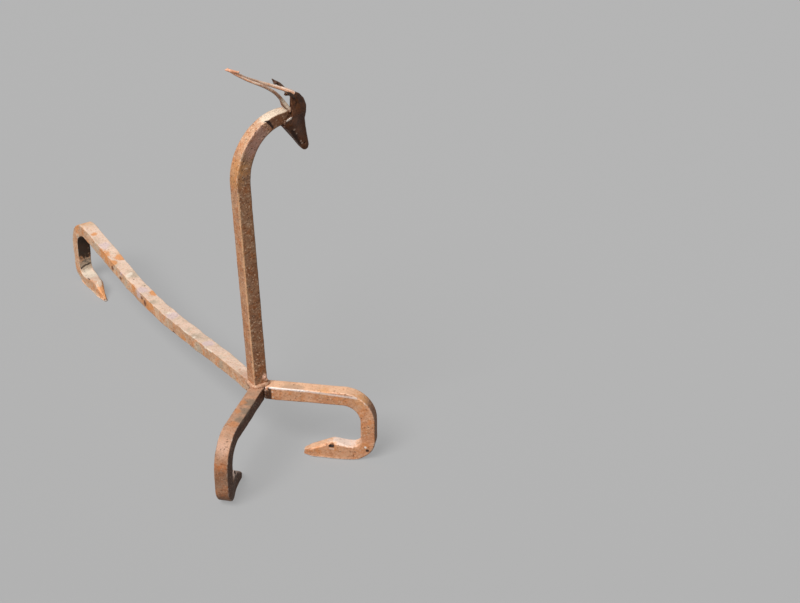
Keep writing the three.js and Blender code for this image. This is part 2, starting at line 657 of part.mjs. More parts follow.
/** The bead behind the left horn's root, on the crown. */
function leftHornWeld() {
  const line = [onHead(0.073, -0.055, 0.329), onHead(0.054, 0, 0.348), onHead(0.068, 0.067, 0.335)];
  return bead(line, CHEEK_BEAD_RADIUS).subtract(headGrown).subtract(leftHorn(FIT_GAP)).subtract(headCavity);
}

/** The bead on the far side of the right horn's root, on the neck. */
function rightHornWeld() {
  const line = [onHead(-0.012, 0.018, 0.134), onHead(-0.044, 0.006, 0.189), onHead(-0.071, -0.022, 0.274)];
  return bead(line, CHEEK_BEAD_RADIUS).subtract(neckGrown).subtract(rightHornGrown).subtract(headGrown);
}

// ---------------------------------------------------------------- assembly

const andiron = new THREE.Group();
addPiece(andiron, 'left_front_leg', frontLeg(LEFT), '#a9765a');
addPiece(andiron, 'right_front_leg', frontLeg(RIGHT), '#a9704f');
addPiece(andiron, 'log_bar', logBar, '#c39a80');
addPiece(upper, 'post', postBar(), '#a87c66');
addPiece(head, 'head', headPiece, '#5d4a40');
addPiece(head, 'left_horn', leftHorn(0), '#c4a48c');
addPiece(head, 'right_horn', rightHorn, '#b8937c');
addPiece(head, 'left_ear', ear(LEFT_EAR), '#4a3428');
addPiece(head, 'right_ear', ear(RIGHT_EAR), '#6b5040');
addPiece(andiron, 'post_weld', postWeld(), '#8a6049');
addPiece(andiron, 'leg_weld', legWeld(), '#7c5441');
addPiece(andiron, 'left_bar_weld', barWeld(-1), '#8a6049');
addPiece(andiron, 'right_bar_weld', barWeld(1), '#8a6049');
addPiece(head, 'left_cheek_weld', cheekWeld(1), '#9a7a66');
addPiece(head, 'right_cheek_weld', cheekWeld(-1), '#9a7a66');
addPiece(head, 'left_horn_weld', leftHornWeld(), '#8a6049');
addPiece(head, 'right_horn_weld', rightHornWeld(), '#8a6049');
andiron.add(upper);

// the origin goes to the middle of the object's box, on the floor
const box = new THREE.Box3().setFromObject(andiron, true);
andiron.position.set(-(box.min.x + box.max.x) / 2, -(box.min.y + box.max.y) / 2, -box.min.z);

export default andiron;
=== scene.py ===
# %% [markdown]
# # A forged andiron, dressed for its picture
# The imported CAD model comes first and stays where it is. It is the frame: every piece made
# below starts from one of its nodes, so a piece sits where the smith's bar sits.

import math
from functools import cached_property

import bmesh
import bpy
import numpy as np
from mathutils import Matrix, Vector


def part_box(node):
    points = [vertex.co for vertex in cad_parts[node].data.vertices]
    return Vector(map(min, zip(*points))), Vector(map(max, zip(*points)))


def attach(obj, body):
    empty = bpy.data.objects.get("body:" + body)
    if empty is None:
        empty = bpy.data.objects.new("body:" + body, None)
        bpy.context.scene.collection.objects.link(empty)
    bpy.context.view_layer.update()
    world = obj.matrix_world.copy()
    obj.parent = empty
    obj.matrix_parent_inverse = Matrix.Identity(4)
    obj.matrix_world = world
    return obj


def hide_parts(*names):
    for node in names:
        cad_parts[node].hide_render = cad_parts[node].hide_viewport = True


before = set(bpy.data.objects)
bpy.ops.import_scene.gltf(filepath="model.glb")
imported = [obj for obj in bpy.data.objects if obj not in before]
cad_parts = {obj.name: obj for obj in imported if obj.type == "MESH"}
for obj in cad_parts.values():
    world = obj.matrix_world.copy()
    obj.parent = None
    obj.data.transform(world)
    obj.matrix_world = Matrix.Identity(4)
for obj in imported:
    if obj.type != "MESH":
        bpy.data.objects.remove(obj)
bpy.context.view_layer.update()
scene = bpy.context.scene
scene.view_settings.view_transform = "Standard"

# %% [markdown]
# # Where the camera stands
# The picture was taken from the front left and a little above. The bearings were worked out from
# the bars themselves: they are straight and square, so each edge says how the camera was turned.
# A camera is three directions at right angles, right, up and back, and the place they start from.

# %% camera
AZIMUTH = math.radians(-32.42)
ELEVATION = math.radians(29.47)
DISTANCE = 2.331
LOOKS_AT = Vector((0.17313, -0.29736, 0.2))
LENS_MM = 81
FILM_WIDTH_MM = 36
NEAREST = 0.05


def camera_axes(azimuth, elevation):
    """Right, up and back of a camera that is held level at this bearing and this height angle."""
    right = Vector((math.cos(azimuth), math.sin(azimuth), 0))
    back = Vector((math.sin(azimuth) * math.cos(elevation),
                   -math.cos(azimuth) * math.cos(elevation),
                   math.sin(elevation)))
    return right, back.cross(right), back


right, up, back = camera_axes(AZIMUTH, ELEVATION)
camera = bpy.data.objects.new("camera", bpy.data.cameras.new("camera"))
scene.collection.objects.link(camera)
camera.data.lens = LENS_MM
camera.data.sensor_width = FILM_WIDTH_MM
camera.data.clip_start = NEAREST
turn = Matrix((right, up, back)).transposed().to_4x4()
camera.matrix_world = Matrix.Translation(LOOKS_AT + DISTANCE * back) @ turn
scene.camera = camera
print("camera stands at", [round(v, 3) for v in camera.matrix_world.translation])

# %% [markdown]
# # A plain floor that turns up into a backdrop
# A photographer's paper sweep has no corner between floor and wall. Turned round the middle like a
# bowl it serves every view. It is stage, not part of the andiron.

# %% floor and backdrop
FLOOR_RADIUS = 4.2
SWEEP_RADIUS = 1.6
SWEEP_TOP = 4.5
TURN_STEPS = 96


def sweep_profile():
    """The bowl's outline from the middle outwards and up."""
    angles = [math.radians(angle) for angle in range(0, 91, 10)]
    bend = [(FLOOR_RADIUS + SWEEP_RADIUS * math.sin(angle), SWEEP_RADIUS * (1 - math.cos(angle)))
            for angle in angles]
    return [(0.0, 0.0), (FLOOR_RADIUS / 2, 0.0), *bend, (FLOOR_RADIUS + SWEEP_RADIUS, SWEEP_TOP)]


def turned(name, profile):
    """A surface made by turning a profile once round the Z axis."""
    mesh = bmesh.new()
    line = [mesh.verts.new((x, 0, z)) for x, z in profile]
    edges = [mesh.edges.new(pair) for pair in zip(line, line[1:])]
    bmesh.ops.spin(mesh, geom=line + edges, cent=(0, 0, 0), axis=(0, 0, 1), angle=math.tau,
                   steps=TURN_STEPS)
    bmesh.ops.remove_doubles(mesh, verts=mesh.verts, dist=1e-5)
    bmesh.ops.recalc_face_normals(mesh, faces=mesh.faces)
    data = bpy.data.meshes.new(name)
    mesh.to_mesh(data)
    mesh.free()
    data.shade_smooth()
    made = bpy.data.objects.new(name, data)
    scene.collection.objects.link(made)
    return made


floor = turned("floor_and_backdrop", sweep_profile())
print("backdrop faces", len(floor.data.polygons))

# %% [markdown]
# # Light
# One soft lamp, high on the left, makes the tops and the left faces bright and leaves the right
# faces in shade, which is what shows that the bars are square. A large disc of a lamp gives wide
# soft edges to the shadows, and the pale world fills them.

# %% light
LAMP_FROM = Vector((-0.57, -0.27, 0.78)).normalized()
LAMP_LEVEL = 1.18  # times a surface's own colour, where the lamp alone lights it square on
LAMP_WIDTH = math.radians(34)  # how wide the lamp looks from the andiron
WORLD_LEVEL = 0.22

lamp = bpy.data.objects.new("lamp", bpy.data.lights.new("lamp", "SUN"))
lamp.data.energy = LAMP_LEVEL * math.pi
lamp.data.angle = LAMP_WIDTH
lamp.rotation_mode = "QUATERNION"
lamp.rotation_quaternion = LAMP_FROM.to_track_quat("Z", "Y")
scene.collection.objects.link(lamp)
world = bpy.data.worlds.new("pale room")
world.use_nodes = True
background = world.node_tree.nodes["Background"].inputs
background["Color"].default_value = (1, 1, 1, 1)
background["Strength"].default_value = WORLD_LEVEL
scene.world = world
print("lamp", round(lamp.data.energy, 2), "world", WORLD_LEVEL)

# %% [markdown]
# # Writing a finish as sums
# A rusty surface is a stack of masks: broad patches, small spots, pits, worn edges. Written as
# sums in Python they stay readable. `Value` wraps the output of a shader node, and its operators
# add the Math node that the sum needs. Every other node comes from `Finish.node`.

# %% a small language for finishes
UP = (0, 0, 1)
BUMP = 0.0009  # height of the finest relief
FINE_SPOT = 0.004  # a spot with a smaller radius keeps more of its round shape
FINE_TEAR = 1.8
BROAD_TEAR = 3.6


def linear(code):
    """A web colour such as '#a06a4c' as the linear colour that a shader works with."""
    parts = [int(code[i:i + 2], 16) / 255 for i in (1, 3, 5)]
    return (*[c / 12.92 if c <= 0.04045 else ((c + 0.055) / 1.055) ** 2.4 for c in parts], 1)


class Value:
    """One output of a node. Sums on it add Math nodes."""

    def __init__(self, finish, socket):
        self.finish = finish
        self.socket = socket

    def sum(self, operation, first, second):
        return self.finish.node("ShaderNodeMath", {"operation": operation},
                                {"Value": first, "Value_001": second})

    def __add__(self, other):
        return self.sum("ADD", self, other)

    def __sub__(self, other):
        return self.sum("SUBTRACT", self, other)

    def __rsub__(self, other):
        return self.sum("SUBTRACT", other, self)

    def __mul__(self, other):
        return self.sum("MULTIPLY", self, other)

    __radd__ = __add__
    __rmul__ = __mul__


def sockets_of(node):
    """A node's inputs by name, and by identifier where a name stands for several."""
    by_name = {socket.name: socket for socket in reversed(node.inputs)}
    return {**by_name, **{socket.identifier: socket for socket in node.inputs}}


class Finish:
    """A material that is being written."""

    def __init__(self, name):
        self.material = bpy.data.materials.new(name)
        self.material.use_nodes = True
        self.tree = self.material.node_tree
        self.tree.nodes.clear()

    @cached_property
    def place(self):
        """Where each point of the skin was before the hammer moved it."""
        return self.node("ShaderNodeAttribute", {"attribute_name": "place"}, {}, "Vector")

    def node(self, kind, settings, sockets, output=None):
        """Adds a node: its settings first, then the values or links of its sockets."""
        made = self.tree.nodes.new(kind)
        for key, value in settings.items():
            setattr(made, key, value)
        inputs = sockets_of(made)
        for key, value in sockets.items():
            if isinstance(value, Value):
                self.tree.links.new(value.socket, inputs[key])
            else:
                inputs[key].default_value = value
        if not made.outputs:
            return made
        by_identifier = {socket.identifier: socket for socket in made.outputs}
        return Value(self, by_identifier[output] if output else made.outputs[0])

    def attribute(self, name):
        """A number that the mesh carries at each of its points."""
        return self.node("ShaderNodeAttribute", {"attribute_name": name}, {}, "Fac")

    def ramp(self, value, low, high):
        """Nothing below `low`, all above `high`, and a soft step between."""
        return self.node("ShaderNodeMapRange", {"interpolation_type": "SMOOTHSTEP"},
                         {"Value": value, "From Min": low, "From Max": high})

    def clouds(self, size, seed, detail=3.0, roughness=0.55):
        """Soft noise whose spots are about `size` metres across."""
        return self.node("ShaderNodeTexNoise", {"noise_dimensions": "4D"},
                         {"Vector": self.place, "W": seed, "Scale": 1 / size,
                          "Detail": detail, "Roughness": roughness})

    def cells(self, size, seed):
        """Distance from the nearest of many scattered points, about `size` metres apart."""
        return self.node("ShaderNodeTexVoronoi", {"voronoi_dimensions": "4D"},
                         {"Vector": self.place, "W": seed, "Scale": 1 / size})

    def mix(self, first, second, share):
        """From one colour to another."""
        return self.node("ShaderNodeMix", {"data_type": "RGBA"},
                         {"Factor_Float": share, "A_Color": first, "B_Color": second},
                         "Result_Color")

    def vectors(self, operation, output=None, **sockets):
        """A sum of places and directions."""
        return self.node("ShaderNodeVectorMath", {"operation": operation}, sockets, output)

    def away(self, radius, start, end=None):
        """Distance from a point, or from the line between two points, measured in radii."""
        nearest = start
        if end:
            along = Vector(end) - Vector(start)
            gone = self.vectors("SUBTRACT", Vector=self.place, Vector_001=start)
            share = self.vectors("DOT_PRODUCT", "Value", Vector=gone,
                                 Vector_001=along / along.length_squared)
            share = share.sum("MAXIMUM", share.sum("MINIMUM", share, 1.0), 0.0)
            nearest = self.vectors("MULTIPLY_ADD", Vector=share, Vector_001=along, Vector_002=start)
        far = self.vectors("DISTANCE", "Value", Vector=self.place, Vector_001=nearest)
        return far * (1 / radius)

    def patches(self, spots, noise, soft):
        """A mask over spots and streaks, its edge torn by a noise. Soft 0 is crisp."""
        widest = max(radius for radius, *_ in spots)
        tear = FINE_TEAR if widest < FINE_SPOT else BROAD_TEAR
        nearest = self.away(*spots[0])
        for spot in spots[1:]:
            nearest = nearest.sum("MINIMUM", nearest, self.away(*spot))
        return 1 - self.ramp(nearest + (noise - 0.5) * tear, 0.9 - 0.8 * soft, 1.1)

    def facing(self, direction):
        """How far the surface faces a direction, from -1 to 1."""
        normal = self.node("ShaderNodeNewGeometry", {}, {}, "Normal")
        return self.vectors("DOT_PRODUCT", "Value", Vector=normal, Vector_001=direction)

    def close(self, colour, roughness, metallic, height, sheen):
        """The shader itself, at the end of all the sums."""
        normal = self.node("ShaderNodeBump", {},
                           {"Height": height, "Distance": BUMP, "Strength": 1.0})
        shader = self.node("ShaderNodeBsdfPrincipled", {}, {
            "Base Color": colour, "Roughness": roughness, "Metallic": metallic,
            "Normal": normal, "Specular IOR Level": sheen})
        self.node("ShaderNodeOutputMaterial", {}, {"Surface": shader})
        return self.material


print("noise tears the edge of a spot by", FINE_TEAR / 2, "or", BROAD_TEAR / 2, "of its radius")

# %% [markdown]
# # The paper sweep's finish
# Plain grey paper. To the eye, and in reflections, it glows for the most part of its own, so that
# it stays pale and even while it still takes the andiron's shadow. To other light it is darker, so
# that it doesn't light the bars from below.

# %% paper
SEEN_TONE = "#b2b2b2"
UNSEEN_TONE = "#6c6c6c"
GLOW_TONE = "#b3b3b3"
GLOW_SHARE = 0.7


def paper(name):
    """Paper that is pale to the eye and darker to stray light."""
    finish = Finish(name)
    rays = [finish.node("ShaderNodeLightPath", {}, {}, ray)
            for ray in ("Is Camera Ray", "Is Glossy Ray", "Is Transmission Ray")]
    seen = rays[0].sum("MAXIMUM", rays[0], rays[0].sum("MAXIMUM", rays[1], rays[2]))
    tone = finish.mix(linear(UNSEEN_TONE), linear(SEEN_TONE), seen)
    matt = finish.node("ShaderNodeBsdfDiffuse", {}, {"Color": tone})
    glow = finish.node("ShaderNodeEmission", {}, {"Color": linear(GLOW_TONE), "Strength": 1.0})
    both = finish.node("ShaderNodeMixShader", {},
                       {"Fac": seen * GLOW_SHARE, "Shader": matt, "Shader_001": glow})
    finish.node("ShaderNodeOutputMaterial", {}, {"Surface": both})
    return finish.material


floor.data.materials.append(paper("grey_paper"))
print("paper on", floor.name)

# %% [markdown]
# # From a faceted node to a worn bar
# A CAD bar has flat faces and crisp chamfers. A real one was hot, hit and rubbed. Its mesh is
# copied, merged, and filled again with small even squares (a voxel remesh), so that there are
# points to move. A few rounds of smoothing round its edges as years of handling do.

# %% even skin
RUB = 0.5  # how far each round of smoothing takes a point towards its neighbours' middle


def even_copy(node, name, square, rounds, lumps=()):
    """A node's mesh and any lumps fused to it, in even squares, its edges rubbed round."""
    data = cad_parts[node].data.copy()
    merged = bmesh.new()
    merged.from_mesh(data)
    bmesh.ops.remove_doubles(merged, verts=merged.verts, dist=1e-6)
    for radius, centre in lumps:
        bmesh.ops.create_icosphere(merged, subdivisions=1, radius=radius,
                                   matrix=Matrix.Translation(centre))
    merged.to_mesh(data)
    merged.free()
    data.name = name
    data.materials.clear()
    piece = bpy.data.objects.new(name, data)
    scene.collection.objects.link(piece)
    remesh = piece.modifiers.new("even squares", "REMESH")
    remesh.mode = "VOXEL"
    remesh.voxel_size = square
    remesh.use_smooth_shade = True
    rub = piece.modifiers.new("rubbed edges", "SMOOTH")
    rub.factor = RUB
    rub.iterations = rounds
    return piece


print("faces in the bare nodes", sum(len(node.data.polygons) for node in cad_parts.values()))

# %% [markdown]
# # Hammer marks
# A smith's hammer leaves shallow round dents side by side, and the heat of many fires leaves the
# bar a little wavy. Both repeat over the whole skin, so Geometry Nodes make them: scattered cells
# give the dents, broad noise the waves, and each point moves inwards along its normal. Inwards
# only, because the bar mustn't grow. The soles stay flat where they stand on the floor. Each point
# keeps the place it had before, so that a finish finds its spots however deep a dent is.

# %% a tree for hammer marks
SOLE = 0.0006  # up to this height a foot's sole stays flat
ABOVE_SOLE = 0.004  # from this height up the marks have their full depth


def add_input(tree, name, kind, value=None):
    """Adds a named input to a tree, and gives the identifier that a modifier knows it by."""
    socket = tree.interface.new_socket(name, in_out="INPUT", socket_type=kind)
    if value is not None:
        socket.default_value = value
    return socket.identifier


def wire(tree, kind, settings, sockets):
    """Adds a node to a geometry tree: settings first, then values or links."""
    made = tree.nodes.new(kind)
    for key, value in settings.items():
        setattr(made, key, value)
    inputs = sockets_of(made)
    for key, value in sockets.items():
        if isinstance(value, bpy.types.NodeSocket):
            tree.links.new(value, inputs[key])
        else:
            inputs[key].default_value = value
    return made


def maths(tree, operation, first, second=0.0):
    """One sum on two numbers."""
    made = wire(tree, "ShaderNodeMath", {"operation": operation},
                {"Value": first, "Value_001": second})
    return made.outputs[0]


hammering = bpy.data.node_groups.new("hammer marks", "GeometryNodeTree")
add_input(hammering, "Geometry", "NodeSocketGeometry")
hammer_inputs = {
    "dent_size": add_input(hammering, "Dent size", "NodeSocketFloat", 0.014),
    "dent_depth": add_input(hammering, "Dent depth", "NodeSocketFloat", 0.0005),
    "wave_size": add_input(hammering, "Wave size", "NodeSocketFloat", 0.045),
    "wave_depth": add_input(hammering, "Wave depth", "NodeSocketFloat", 0.0010),
    "seed": add_input(hammering, "Seed", "NodeSocketFloat", 0.0),
    "finish": add_input(hammering, "Finish", "NodeSocketMaterial"),
}
hammering.interface.new_socket("Geometry", in_out="OUTPUT", socket_type="NodeSocketGeometry")


def move_and_dress(tree, skin, distance, finish):
    """The tree's end: keeps each point's place, moves it along its normal, sets the finish."""
    place = wire(tree, "GeometryNodeInputPosition", {}, {}).outputs[0]
    normal = wire(tree, "GeometryNodeInputNormal", {}, {}).outputs[0]
    move = wire(tree, "ShaderNodeVectorMath", {"operation": "SCALE"},
                {"Vector": normal, "Scale": distance})
    marked = wire(tree, "GeometryNodeStoreNamedAttribute",
                  {"data_type": "FLOAT_VECTOR", "domain": "POINT"},
                  {"Geometry": skin, "Name": "place", "Value": place})
    moved = wire(tree, "GeometryNodeSetPosition", {},
                 {"Geometry": marked.outputs[0], "Offset": move.outputs[0]})
    real = wire(tree, "GeometryNodeRealizeInstances", {}, {"Geometry": moved.outputs[0]})
    dressed = wire(tree, "GeometryNodeSetMaterial", {},
                   {"Geometry": real.outputs[0], "Material": finish})
    wire(tree, "NodeGroupOutput", {}, {"Geometry": dressed.outputs[0]})


def build_hammering(tree):
    """Dents and waves that move each point inwards, and the finish on top."""
    given = tree.nodes.new("NodeGroupInput").outputs
    place = wire(tree, "GeometryNodeInputPosition", {}, {}).outputs[0]
    dent_scale = maths(tree, "DIVIDE", 1.0, given["Dent size"])
    cells = wire(tree, "ShaderNodeTexVoronoi",
                 {"voronoi_dimensions": "4D", "feature": "SMOOTH_F1"},
                 {"Vector": place, "W": given["Seed"], "Scale": dent_scale, "Smoothness": 0.35})
    far = cells.outputs["Distance"]
    rim = maths(tree, "MINIMUM", maths(tree, "MULTIPLY", far, far), 1.0)
    hollow = maths(tree, "SUBTRACT", 1.0, rim)
    wave_scale = maths(tree, "DIVIDE", 1.0, given["Wave size"])
    wave = wire(tree, "ShaderNodeTexNoise", {"noise_dimensions": "4D"},
                {"Vector": place, "W": given["Seed"], "Scale": wave_scale,
                 "Detail": 2.0}).outputs[0]
    depth = maths(tree, "ADD", maths(tree, "MULTIPLY", hollow, given["Dent depth"]),
                  maths(tree, "MULTIPLY", wave, given["Wave depth"]))
    height = wire(tree, "ShaderNodeSeparateXYZ", {}, {"Vector": place}).outputs["Z"]
    off_floor = wire(tree, "ShaderNodeMapRange", {"interpolation_type": "SMOOTHSTEP"},
                     {"Value": height, "From Min": SOLE, "From Max": ABOVE_SOLE}).outputs[0]
    inward = maths(tree, "MULTIPLY", maths(tree, "MULTIPLY", depth, off_floor), -1.0)
    move_and_dress(tree, given["Geometry"], inward, given["Finish"])


build_hammering(hammering)
print("hammer tree has", len(hammering.nodes), "nodes")

# %% [markdown]
# # Wear, measured on the mesh
# Rust darkens hollows, and rubbing brightens whatever stands out. How far a point stands out is
# its distance from where its neighbours' average would put it. That is worked out once, kept on
# the mesh as two numbers, `wear` and `hollow`, and read by the finishes.

# %% measure wear
WEAR_ROUNDS = 10


def measure_wear(data, full):
    """Keeps how far each point stands out or lies in, from 0 to 1 at the distance `full`."""
    count = len(data.vertices)
    places = np.empty(count * 3, np.float32)
    data.vertices.foreach_get("co", places)
    places = places.reshape(-1, 3).astype(float)
    normals = np.empty(count * 3, np.float32)
    data.vertex_normals.foreach_get("vector", normals)
    ends = np.empty(len(data.edges) * 2, np.int32)
    data.edges.foreach_get("vertices", ends)
    one, two = ends.reshape(-1, 2).T
    degree = np.maximum(np.bincount(ends, minlength=count), 1)
    eased = places.copy()
    for _ in range(WEAR_ROUNDS):
        for axis in range(3):
            value = eased[:, axis]
            total = np.bincount(one, value[two], count) + np.bincount(two, value[one], count)
            eased[:, axis] = 0.5 * value + 0.5 * total / degree  # half way to its neighbours
    lift = ((places - eased) * normals.reshape(-1, 3)).sum(1) / full
    for name, amount in (("wear", lift), ("hollow", -lift)):
        kept = data.attributes.new(name, "FLOAT", "POINT")
        kept.data.foreach_set("value", np.clip(amount, 0, 1).astype(np.float32))


def plain_mesh(piece):
    """A new mesh with the piece's modifiers worked in."""
    graph = bpy.context.evaluated_depsgraph_get()
    return bpy.data.meshes.new_from_object(piece.evaluated_get(graph))


def hand_over(piece, node, full_wear):
    """Measures the wear of a finished piece and puts it in the place of its node."""
    measure_wear(piece.data, full_wear)
    piece.data.shade_smooth()
    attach(piece, "root")
    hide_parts(node)
    print(piece.name, len(piece.data.polygons), "faces")


def run(thick, start, thin, end, balls=9):
    """A run of balls from one point to another that fuse to a drop of metal."""
    steps = [i / (balls - 1) for i in range(balls)]
    return [(thick + (thin - thick) * t, Vector(start).lerp(end, t)) for t in steps]


def forge(node, name, finish, slot, square, rounds, lumps=(), **marks):
    """One bar or plate of the andiron, from its node to a hammered, worn piece in its place."""
    piece = even_copy(node, name, square, rounds, lumps)
    modifier = piece.modifiers.new("hammer marks", "NODES")
    modifier.node_group = hammering
    for key, value in marks.items():
        modifier[hammer_inputs[key]] = value
    modifier[hammer_inputs["finish"]] = finish
    data = plain_mesh(piece)
    piece.modifiers.clear()
    piece.data = data
    data.name = name
    hand_over(piece, node, 0.5 * square)  # half a square of height is full wear
    return piece


print("wear is measured after", WEAR_ROUNDS, "rounds of easing")

# %% [markdown]
# # Rusted iron
# Old forged iron has a skin of several layers. Under all is brown oxide in broad patches. Orange
# rust blooms in spots, pits show almost black, pale ash and scale lie on what faces up, and worn
# edges are pale pink, partly from rubbing and partly as a painted highlight. Chosen sides get
# painted shade. Every piece has the same layers with other tones, so one function writes them all.
# What only one place has comes last, as a patch with a torn edge: a chip, and also many painted
# highlights and shadows.
# A noise runs from 0 to 1 round a middle of 0.5. The two numbers of a ramp say where on it a layer
# starts and where it covers all, and the number behind a ramp says how thick the layer is.

# %% rusted iron
BROAD, MIDDLE, SMALL, GRAIN = 0.035, 0.011, 0.0036, 0.0019  # sizes of the noise's spots
STAIN_SIZE = 0.020
FLECK_SIZE = 0.0024
PIT_SPACING = 0.0034


def dab(tone, amount, soft, *spots, on=None):
    """Colour that one place has, only on faces that look the way of `on` if it is given.

    Each spot is a radius and a point, or two points for a streak.
    """
    return tone, amount, soft, spots, on


def rusted_iron(name, tones, seed, stain="#8f8070", stained=0.3, ash=0.7, speckle=0.6,
                shine=0.4, pitted=1.0, sheen=0.3, painted_shade_sides=(), dabs=()):
    """A finish from its tones, which are deep, brown, light, orange, pale and worn; worn stands for
    both rubbed metal and a painted highlight.
    """
    deep, brown, light, orange, pale, worn = [linear(tone) for tone in tones]
    finish = Finish(name)
    wear = finish.attribute("wear")
    hollow = finish.attribute("hollow")
    broad = finish.clouds(BROAD, seed)
    middle = finish.clouds(MIDDLE, seed + 3)
    small = finish.clouds(SMALL, seed + 5, detail=4.0, roughness=0.65)
    grain = finish.clouds(GRAIN, seed + 7, roughness=0.7)
    torn = small * 0.5 + middle * 0.25 + grain * 0.25
    colour = finish.mix(brown, light, finish.ramp(broad + (small - 0.5) * 0.9, 0.38, 0.6))
    bloom = finish.ramp(middle + (grain - 0.5) * 0.6, 0.5, 0.6) * 0.7
    colour = finish.mix(colour, orange, bloom)
    upward = finish.facing(UP) + (torn - 0.5) * 2.4 + (grain - 0.5)
    dust = finish.ramp(upward, 0.4, 1.1) * ash
    colour = finish.mix(colour, pale, dust)
    other = finish.ramp(finish.clouds(STAIN_SIZE, seed + 9) + (torn - 0.5), 0.5, 0.64) * stained
    colour = finish.mix(colour, linear(stain), other)
    # painted shade: faces turned towards each given direction are darkened towards the deep tone
    for direction, amount in painted_shade_sides:
        shade = finish.ramp(finish.facing(direction) + (small - 0.5) * 0.3, 0.55, 0.85)
        colour = finish.mix(colour, deep, shade * amount)
    # worn edges: real rubbing, and at the same time a painted highlight on whatever stands out
    rubbed = finish.ramp(wear + (small - 0.5) * 0.8, 0.3, 0.85)
    colour = finish.mix(colour, worn, rubbed * 0.85)
    flecks = finish.ramp(finish.clouds(FLECK_SIZE, seed + 11) + (grain - 0.5) * 0.4, 0.56, 0.66)
    colour = finish.mix(colour, pale, flecks * speckle * 0.6)
    for tone, amount, soft, spots, side in dabs:
        share = finish.patches(spots, torn, soft) * amount
        if side:
            share = share * finish.ramp(finish.facing(side), 0.35, 0.75)
        colour = finish.mix(colour, linear(tone), share)
    pits = finish.ramp(finish.cells(PIT_SPACING, seed) + (grain - 0.5) * 0.9, 0.3, 0.12)
    pits = pits * (1 - dust * 0.7)
    specks = finish.ramp(grain, 0.56, 0.64) * (1 - dust * 0.5)
    colour = finish.mix(colour, deep, (pits * 0.5 + specks * 0.5) * speckle)
    colour = finish.mix(colour, deep, finish.ramp(hollow, 0.3, 1.0) * 0.8)
    roughness = 0.62 + (small - 0.5) * 0.35 - wear * shine * 0.4
    height = middle * 0.9 + small * 0.6 + grain * 0.5 * pitted - pits * 0.7 * pitted
    return finish.close(colour, roughness, 0.1 + wear * shine * 0.4, height, sheen)


print("the noise's spots, in mm", [round(1000 * size, 1) for size in (BROAD, MIDDLE, SMALL, GRAIN)])

# %% [markdown]
# # Tones of each piece
# The front legs were brushed clean and went tan and peach. The log bar lies in ash and is paler,
# with lilac and orange patches and small dark chips. The post is pitted and browner, with painted
# shade on the side away from the lamp, and the head is toned dark as painted shade.

# %% leg finishes
left_leg_iron = rusted_iron(
    "left_leg_iron", ("#40230f", "#9c6a4b", "#b88767", "#c07544", "#d2a688", "#f4dccb"), 1.0,
    speckle=0.9, stain="#9c8470", stained=0.4,
    # painted shade on the inner face towards the front right, and on the undersides
    painted_shade_sides=[((0.66, -0.75, 0), 0.8), ((0, 0.2, -1), 0.6)],
    dabs=[dab("#8f7d6b", 0.8, 0.5, (0.010, (-0.036, -0.268, 0.1015)),
              (0.010, (-0.050, -0.281, 0.1015)), (0.009, (-0.066, -0.296, 0.1015))),
          dab("#d58c58", 0.6, 0.5, (0.006, (-0.044, -0.262, 0.1015)),
              (0.006, (-0.058, -0.277, 0.1015)), (0.008, (-0.077, -0.300, 0.1010))),
          # painted highlight on the shoulder of the bend
          dab("#e0b49c", 0.5, 1.0, (0.015, (-0.105, -0.322, 0.088))),
          # painted light on the top of the foot, where the leg's shadow falls
          dab("#ffe4d4", 1.0, 0.3, (0.015, (-0.0734, -0.2962, 0.0204)), on=UP)])
right_leg_iron = rusted_iron(
    "right_leg_iron", ("#4a2b1c", "#d19068", "#e4ab84", "#dd8d52", "#fbcba6", "#ffeee2"), 3.0,
    ash=0.9, speckle=0.9, stain="#c79a78", stained=0.45,
    # painted shade on the inner face towards the front right, and on the undersides
    painted_shade_sides=[((0.75, -0.66, 0), 0.5), ((0, 0.2, -1), 0.5)],
    dabs=[dab("#f0a962", 0.5, 0.9, (0.011, (0.058, -0.296, 0.1015)),
              (0.013, (0.098, -0.325, 0.090))),
          dab("#c4a084", 0.7, 0.8, (0.009, (0.020, -0.260, 0.1015), (0.034, -0.270, 0.1015)),
              on=UP),
          # painted shade in the recess at the front of the mitre between the legs
          dab("#2a1710", 0.9, 0.4, (0.0030, (0.0026, -0.2498, 0.0990), (0.0026, -0.2498, 0.0830))),
          dab("#f0d0b8", 0.9, 0.3, (0.0017, (0.0052, -0.2520, 0.0940)),
              (0.0015, (0.0060, -0.2527, 0.0862))),
          # painted highlight along the top front edge
          dab("#fff3ec", 0.85, 0.6, (0.0028, (0.003, -0.2505, 0.1003), (0.036, -0.2795, 0.0997))),
          dab("#fff3ec", 0.6, 0.7, (0.0022, (0.036, -0.2795, 0.0997), (0.088, -0.3258, 0.0950))),
          # painted light on the foot's upturned top
          dab("#fae4d6", 0.85, 0.6, (0.020, (0.080, -0.307, 0.024)), on=UP),
          dab("#d0936c", 1.0, 0.3, (0.0052, (0.0606, -0.3057, 0.0200))),
          # the foot's eye: painted highlight on its lower lip, painted shade inside the hole
          dab("#f6d2ba", 0.8, 0.4, (0.0013, (0.0585, -0.3052, 0.0165), (0.0625, -0.3086, 0.0161))),
          dab("#190e09", 1.0, 0.2, (0.0024, (0.0594, -0.3047, 0.0206), (0.0620, -0.3070, 0.0204))),
          dab("#fff0e2", 0.95, 0.3, (0.0022, (0.0966, -0.3331, 0.0202))),
          dab("#2c1a12", 0.9, 0.3, (0.0026, (0.0984, -0.3347, 0.0155)))])
print("legs", left_leg_iron.name, right_leg_iron.name)

# %% [markdown]
# # The log bar's patches
# Ash, heat and rust left patches that don't repeat, so each is listed by its size and its place on
# the bar, one list for each colour.

